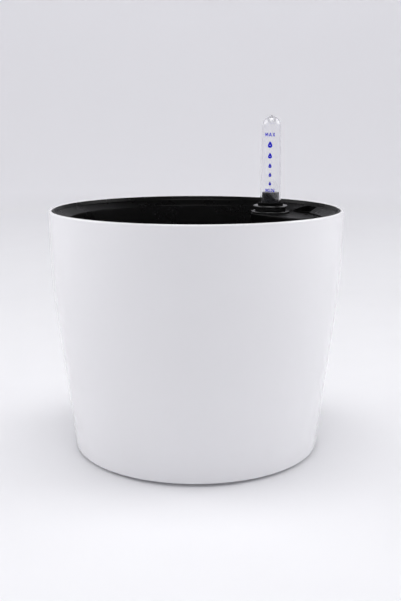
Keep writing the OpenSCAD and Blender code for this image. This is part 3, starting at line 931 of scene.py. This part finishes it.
def drop_outline(width, low, high, steps=36):
    """A water drop: a round base drawn up to a point."""
    fullness, draw = 1.18, 1.35
    points = []
    for k in range(steps):
        t = 2 * math.pi * k / steps
        x = width / 2 * fullness * math.sin(t) * math.sin(t / 2) ** draw
        y = (high + low) / 2 + (high - low) / 2 * math.cos(t)
        points.append((x, y))
    return points


# Outlines of plain capitals in a unit square. A second outline is a hole.
CAPITALS = {
    "M": [[(0, 0), (0, 1), (0.24, 1), (0.5, 0.5), (0.76, 1), (1, 1), (1, 0), (0.79, 0), (0.79, 0.62),
           (0.56, 0.18), (0.44, 0.18), (0.21, 0.62), (0.21, 0)]],
    "A": [[(0, 0), (0.38, 1), (0.62, 1), (1, 0), (0.77, 0), (0.69, 0.22), (0.31, 0.22), (0.23, 0)],
          [(0.38, 0.4), (0.62, 0.4), (0.5, 0.74)]],
    "X": [[(0, 0), (0.37, 0.51), (0.02, 1), (0.27, 1), (0.5, 0.68), (0.73, 1), (0.98, 1), (0.63, 0.51),
           (1, 0), (0.75, 0), (0.5, 0.34), (0.25, 0)]],
    "I": [[(0, 0), (0, 1), (1, 1), (1, 0)]],
    "N": [[(0, 0), (0, 1), (0.24, 1), (0.78, 0.36), (0.78, 1), (1, 1), (1, 0), (0.76, 0), (0.22, 0.64),
           (0.22, 0)]],
}
CAPITAL_W = {"M": 3.3 * MM, "A": 3.1 * MM, "X": 2.8 * MM, "I": 0.8 * MM, "N": 3.1 * MM}


def word(name, letters, gap, low, high):
    """A printed word, centred on the scale."""
    x = -(sum(CAPITAL_W[letter] for letter in letters) + gap * (len(letters) - 1)) / 2
    splines = []
    for letter in letters:
        width = CAPITAL_W[letter]
        for outline in CAPITALS[letter]:
            splines.append([(x + u * width, low + v * (high - low)) for u, v in outline])
        x += width + gap
    wrap_print(filled(name, splines), "tube")


def build_scale():
    """Printed scale: drops that shrink from full to empty, between generic MAX and MIN marks."""
    max_low, max_high, min_low, min_high = 66.4 * MM, 70.0 * MM, 11.0 * MM, 14.5 * MM
    word("scale_mark_max", "MAX", 0.6 * MM, POT_H + max_low, POT_H + max_high)
    word("scale_mark_min", "MIN", 1.0 * MM, POT_H + min_low, POT_H + min_high)
    # Width, foot and tip of each drop, in millimetres, the heights being above the rim
    drops = [(5.3, 55.2, 61.9), (4.7, 44.6, 50.5), (3.7, 35.2, 40.1), (3.3, 26.3, 30.8), (2.9, 17.8, 21.9)]
    for number, (width, low, high) in enumerate(drops, 1):
        outline = drop_outline(width * MM, POT_H + low * MM, POT_H + high * MM)
        glint_z, glint_r = POT_H + (low + 0.36 * (high - low)) * MM, 0.09 * width * MM
        glint = arc(0, glint_z, glint_r, 0, 330, 11)
        wrap_print(filled(f"scale_drop_{number}", [outline, glint]), "tube")


def build_indicator():
    low, high, edge, chamfer = head_low.z, head_high.z, 0.7 * MM, 0.4 * MM
    outer = half_width(head_low, head_high)
    outline = [(ROD_R, low), (outer - chamfer, low), (outer, low + chamfer)]
    outline += arc(outer - edge, high - edge, edge, 0, 90, 6)
    outline += [(0, high), (0, high - ROD_SUNK), (ROD_R, high - ROD_SUNK)]
    turned_piece("level_indicator", outline, GREY, "grey_indicator", "float", "indicator_head")


def build_rod():
    low, high, edge = rod_low.z, rod_high.z, 0.3 * MM
    outline = [(0, low), (ROD_R, low), (ROD_R, high - edge), (ROD_R - edge, high), (0, high)]
    turned_piece("float_rod_round", outline, ROD, "rod_plastic", "float", "float_rod", 48)


def build_float():
    low, high, edge = float_low.z, float_high.z, 1.6 * MM
    outer = half_width(float_low, float_high)
    outline = [(0, low)] + arc(outer - edge, low + edge, edge, -90, 0, 8)
    outline += arc(outer - edge, high - edge, edge, 0, 90, 8)
    outline += [(ROD_R, high), (ROD_R, low + ROD_SUNK), (0, low + ROD_SUNK)]
    turned_piece("foam_float", outline, FOAM, "float_foam", "float", "float")


def build_pipe():
    low, high, bore, edge = pipe_low.z, pipe_high.z, PIPE_BORE_R, 0.3 * MM
    outline = [(bore + edge, low), (PIPE_R - edge, low), (PIPE_R, low + edge), (PIPE_R, high - edge),
               (PIPE_R - edge, high), (bore + edge, high), (bore, high - edge), (bore, low + edge)]
    turned_piece("float_guide_pipe", outline, LINER_BLACK, "black_liner_plastic", "gauge", "guide_pipe", 96)


def build_rod_guide():
    low, top, outer = guide_low.z, guide_high.z, half_width(guide_low, guide_high)
    bore, hub, lip, edge = ROD_R + 0.3 * MM, PIPE_BORE_R - FIT, 1 * MM, 0.3 * MM
    vent_ring_r, vent_r, beyond = 6 * MM, 1.8 * MM, 1 * MM
    outline = [(bore, low), (hub - edge, low), (hub, low + edge), (hub, top - lip), (outer, top - lip),
               (outer, top), (bore, top)]
    guide = lathe("rod_guide_bush", outline, tuple(GAUGE), 96)
    places = [tuple(GAUGE + Vector(polar(vent_ring_r, 90 * k))) for k in range(4)]
    cut(guide, pegs(places, vent_r, low - beyond, top + beyond))
    weld(guide)
    smooth(guide)
    dress(guide, GAUGE_BLACK, "black_gauge_plastic", "gauge", "rod_guide")


def build_strainer():
    """Cap at the pipe's foot, with slots that let water reach the float."""
    low, high, outer = foot_low.z, foot_high.z, half_width(foot_low, foot_high)
    edge, chamfer, floor_h, slot_w = 0.9 * MM, 0.4 * MM, 2 * MM, 2.4 * MM
    cup, bore, seat = PIPE_R + 0.02 * MM, PIPE_BORE_R, pipe_low.z
    slot_low, slot_high = low + 3 * MM, seat - 1 * MM
    outline = [(0, low)] + arc(outer - edge, low + edge, edge, -90, 0, 5)
    outline += [(outer, high - chamfer), (outer - chamfer, high), (cup, high), (cup, seat),
                (bore, seat), (bore, low + floor_h), (0, low + floor_h)]
    foot = lathe("strainer_cap", outline, tuple(GAUGE), 96)
    reach = outer + 1 * MM
    for turn in range(4):
        slot = block((-reach, -slot_w / 2, slot_low), (reach, slot_w / 2, slot_high))
        spin = Matrix.Rotation(turn * math.pi / 4, 4, "Z")
        slot.data.transform(Matrix.Translation((GAUGE.x, GAUGE.y, 0)) @ spin)
        cut(foot, slot)
    weld(foot)
    smooth(foot)
    dress(foot, LINER_BLACK, "black_liner_plastic", "gauge", "strainer_foot")


# ---------------------------------------------------------------- stage, light and camera

def build_stage():
    """A plain pale bowl that glows softly towards its edge: flat floor that sweeps up into a wall.
    From below it is clear, and it is open where the foot ring hides it, so that the world's light
    reaches the pot's underside."""
    floor_r, sweep_r, wall_h, steps = 3.2, 1.6, 4.5, 96
    glow_from, glow = 0.8, 0.27
    open_r = wall_r(0) - FOOT_GAP_W - 1 * MM
    outline = [(open_r, 0)]
    outline += [(floor_r + sweep_r * math.sin(a), sweep_r * (1 - math.cos(a)))
                for a in (math.radians(turn) for turn in range(0, 91, 6))]
    outline += [(floor_r + sweep_r, wall_h)]
    bm = bmesh.new()
    rings = [ring(bm, r, z, steps) for r, z in outline]
    for k in range(steps):
        n = (k + 1) % steps
        for low, high in zip(rings, rings[1:]):
            bm.faces.new([low[k], high[k], high[n], low[n]])
    for face in bm.faces:
        face.smooth = True
        if face.normal.z < 0:
            face.normal_flip()
    mesh = bpy.data.meshes.new("studio_floor")
    bm.to_mesh(mesh)
    bm.free()
    floor = link(bpy.data.objects.new("studio_floor", mesh))
    look = Look("pale_paper")
    tooth = look.noise(14, 3.0)
    away = look.add("ShaderNodeVectorMath", operation="LENGTH")
    look.links.new(look.place, away.inputs[0])
    look.set(Base_Color=look.blend(tooth, grey(0.80, (0.99, 0.99, 1.015)), grey(0.82, (0.99, 0.99, 1.015))),
             Roughness=0.55, Specular_IOR_Level=0.25, Emission_Color=(0.965, 0.955, 1.0, 1),
             Emission_Strength=look.spread(away.outputs["Value"], 0.0, glow, glow_from, floor_r))
    behind = look.add("ShaderNodeNewGeometry").outputs["Backfacing"]
    clear = look.add("ShaderNodeBsdfTransparent")
    look.join_shaders(behind, look.surface, clear)
    floor.data.materials.append(look.material)


# Heading of the camera, clockwise from +Y as seen from above
HEADING = math.radians(37)
FORWARD = Vector((math.sin(HEADING), math.cos(HEADING), 0))
RIGHT = Vector((math.cos(HEADING), -math.sin(HEADING), 0))


def soft_light(name, right, forward, up, size, power, target=Vector((0, 0, 0.15)), colour=(1, 1, 1)):
    """A rectangular softbox placed relative to the camera's heading, aimed at the object."""
    data = bpy.data.lights.new(name, "AREA")
    data.shape = "RECTANGLE"
    data.size, data.size_y = size
    data.energy = power
    data.color = colour
    light = link(bpy.data.objects.new(name, data))
    light.location = RIGHT * right + FORWARD * forward + Vector((0, 0, up))
    light.rotation_mode = "QUATERNION"
    light.rotation_quaternion = (target - light.location).to_track_quat("-Z", "Y")
    light.visible_camera = False
    return light


def build_lights():
    """A softbox on each side, one overhead and a weaker one high behind the camera. The world
    lights from below, so that the pot's underside can be seen, and hardly at all from above."""
    soft_light("softbox_left", -2.2, 0.3, 1.6, (1.8, 1.8), 26)
    soft_light("softbox_right", 2.2, 0.3, 1.6, (1.8, 1.8), 28)
    soft_light("softbox_top", 0.0, -0.1, 2.4, (1.2, 1.2), 24)
    soft_light("softbox_high", 0.0, -1.5, 2.2, (1.6, 1.2), 8)
    world = bpy.data.worlds.new("soft_room")
    world.use_nodes = True
    nodes, links = world.node_tree.nodes, world.node_tree.links
    room = nodes["Background"]
    room.inputs["Color"].default_value = (0.96, 0.945, 1.0, 1)
    seen = nodes.new("ShaderNodeLightPath").outputs["Is Camera Ray"]
    split = nodes.new("ShaderNodeSeparateXYZ")
    links.new(nodes.new("ShaderNodeTexCoord").outputs["Generated"], split.inputs[0])
    below = nodes.new("ShaderNodeMapRange")
    for key, value in (("From Min", -0.15), ("From Max", 0.0), ("To Min", 0.8), ("To Max", 0.03)):
        below.inputs[key].default_value = value
    links.new(split.outputs["Z"], below.inputs["Value"])
    level = nodes.new("ShaderNodeMapRange")
    level.inputs["To Max"].default_value = 0.75
    links.new(below.outputs["Result"], level.inputs["To Min"])
    links.new(seen, level.inputs["Value"])
    links.new(level.outputs["Result"], room.inputs["Strength"])
    bpy.context.scene.world = world


def build_camera():
    """Camera a little above the rim, looking down 11.8 degrees."""
    pitch = math.radians(11.8)
    distance, rise, shift_right = 0.823, 0.0808, 0.0041
    data = bpy.data.cameras.new("camera")
    data.sensor_width = 36
    data.lens = 51.26
    data.clip_start, data.clip_end = 0.01, 50
    camera = link(bpy.data.objects.new("camera", data))
    camera.location = RIGHT * shift_right - FORWARD * distance + Vector((0, 0, POT_H + rise))
    camera.rotation_mode = "QUATERNION"
    aim = FORWARD * math.cos(pitch) - Vector((0, 0, math.sin(pitch)))
    camera.rotation_quaternion = aim.to_track_quat("-Z", "Y")
    bpy.context.scene.camera = camera


build_pot()
build_plug()
washer("drain_plug_washer", plug_washer_low, plug_washer_high, DRAIN_R, (0, 0), "washer", "plug_washer")
build_liner()
build_cords()
build_socket()
washer("gauge_base_washer", washer_low, washer_high, GAUGE_SPIGOT_R, tuple(GAUGE), "gauge", "base_washer")
build_gauge_base()
build_collar()
build_tube()
build_scale()
build_indicator()
build_rod()
build_float()
build_pipe()
build_rod_guide()
build_strainer()
build_stage()
build_lights()
build_camera()

scene = bpy.context.scene
scene.view_settings.view_transform = "Standard"
scene.view_settings.look = "None"
scene.view_settings.exposure = 0.0
